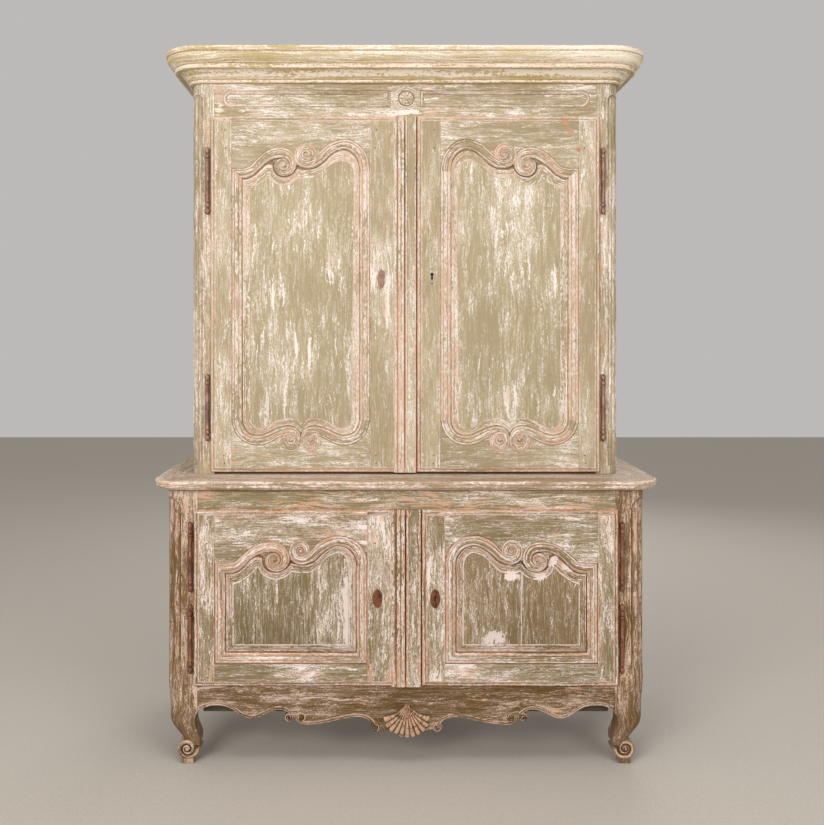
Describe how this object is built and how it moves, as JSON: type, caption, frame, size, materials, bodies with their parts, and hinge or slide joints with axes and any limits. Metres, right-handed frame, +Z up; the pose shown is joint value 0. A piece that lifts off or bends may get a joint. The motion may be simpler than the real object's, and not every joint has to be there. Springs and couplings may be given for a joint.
{
  "type": "buffet cupboard",
  "caption": "Tall two-part painted buffet cupboard with a moulded cornice, shaped panel doors on barrel hinges, a scalloped apron and scroll feet, for storing linen and tableware.",
  "frame": {"origin": "on the floor under the middle of the cupboard's overall box", "axes": "+Z up, +Y to the back (the doors face -Y), +X to the viewer's right"},
  "size_m": [1.596, 0.622, 2.27],
  "materials": {
    "case_paint": "worn olive paint over pale ground and bare wood",
    "door_paint": "worn olive paint over pale ground and bare wood",
    "panel_paint": "worn olive paint over pale ground and bare wood",
    "cornice_paint": "faded cream and olive paint",
    "bare_wood": "unpainted old wood",
    "rusty_iron": "dark rusted wrought iron"
  },
  "bodies": {
    "carcass": {"lower_left_post": "case_paint", "lower_right_post": "case_paint", "upper_left_post": "case_paint", "upper_right_post": "case_paint", "lower_left_side": "case_paint", "lower_right_side": "case_paint", "upper_left_side": "case_paint", "upper_right_side": "case_paint", "lower_top": "case_paint", "lower_top_rail": "case_paint", "apron": "case_paint", "frieze_rail": "case_paint", "cornice": "cornice_paint", "lower_back": "bare_wood", "lower_bottom": "bare_wood", "lower_shelf": "bare_wood", "upper_back": "bare_wood", "upper_shelf": "bare_wood", "upper_left_bottom_hinge_post_half": "rusty_iron", "upper_left_top_hinge_post_half": "rusty_iron", "upper_right_bottom_hinge_post_half": "rusty_iron", "upper_right_top_hinge_post_half": "rusty_iron", "lower_left_bottom_hinge_post_half": "rusty_iron", "lower_left_top_hinge_post_half": "rusty_iron", "lower_right_bottom_hinge_post_half": "rusty_iron", "lower_right_top_hinge_post_half": "rusty_iron"},
    "upper_left_door": {"upper_left_door_hinge_stile": "door_paint", "upper_left_door_meeting_stile": "door_paint", "upper_left_door_top_rail": "door_paint", "upper_left_door_bottom_rail": "door_paint", "upper_left_door_strip": "door_paint", "upper_left_door_panel": "panel_paint", "upper_left_bottom_hinge_door_half": "rusty_iron", "upper_left_top_hinge_door_half": "rusty_iron"},
    "upper_right_door": {"upper_right_door_hinge_stile": "door_paint", "upper_right_door_meeting_stile": "door_paint", "upper_right_door_top_rail": "door_paint", "upper_right_door_bottom_rail": "door_paint", "upper_right_door_panel": "panel_paint", "upper_right_bottom_hinge_door_half": "rusty_iron", "upper_right_top_hinge_door_half": "rusty_iron", "upper_right_door_lock": "rusty_iron"},
    "lower_left_door": {"lower_left_door_hinge_stile": "door_paint", "lower_left_door_meeting_stile": "door_paint", "lower_left_door_top_rail": "door_paint", "lower_left_door_bottom_rail": "door_paint", "lower_left_door_strip": "door_paint", "lower_left_door_panel": "panel_paint", "lower_left_bottom_hinge_door_half": "rusty_iron", "lower_left_top_hinge_door_half": "rusty_iron", "lower_left_door_escutcheon": "rusty_iron"},
    "lower_right_door": {"lower_right_door_hinge_stile": "door_paint", "lower_right_door_meeting_stile": "door_paint", "lower_right_door_top_rail": "door_paint", "lower_right_door_bottom_rail": "door_paint", "lower_right_door_panel": "panel_paint", "lower_right_bottom_hinge_door_half": "rusty_iron", "lower_right_top_hinge_door_half": "rusty_iron", "lower_right_door_lock": "rusty_iron", "lower_right_door_escutcheon": "rusty_iron"}
  },
  "joints": [
    {"name": "upper_left_door_hinge", "type": "hinge", "parent": "carcass", "child": "upper_left_door", "pos_m": [-0.647, -0.1555, 0], "axis": [0, 0, -1], "range_deg": [0, 165]},
    {"name": "upper_right_door_hinge", "type": "hinge", "parent": "carcass", "child": "upper_right_door", "pos_m": [0.647, -0.1555, 0], "axis": [0, 0, 1], "range_deg": [0, 165]},
    {"name": "lower_left_door_hinge", "type": "hinge", "parent": "carcass", "child": "lower_left_door", "pos_m": [-0.6785, -0.2775, 0], "axis": [0, 0, -1], "range_deg": [0, 165]},
    {"name": "lower_right_door_hinge", "type": "hinge", "parent": "carcass", "child": "lower_right_door", "pos_m": [0.6785, -0.2775, 0], "axis": [0, 0, 1], "range_deg": [0, 165]}
  ]
}
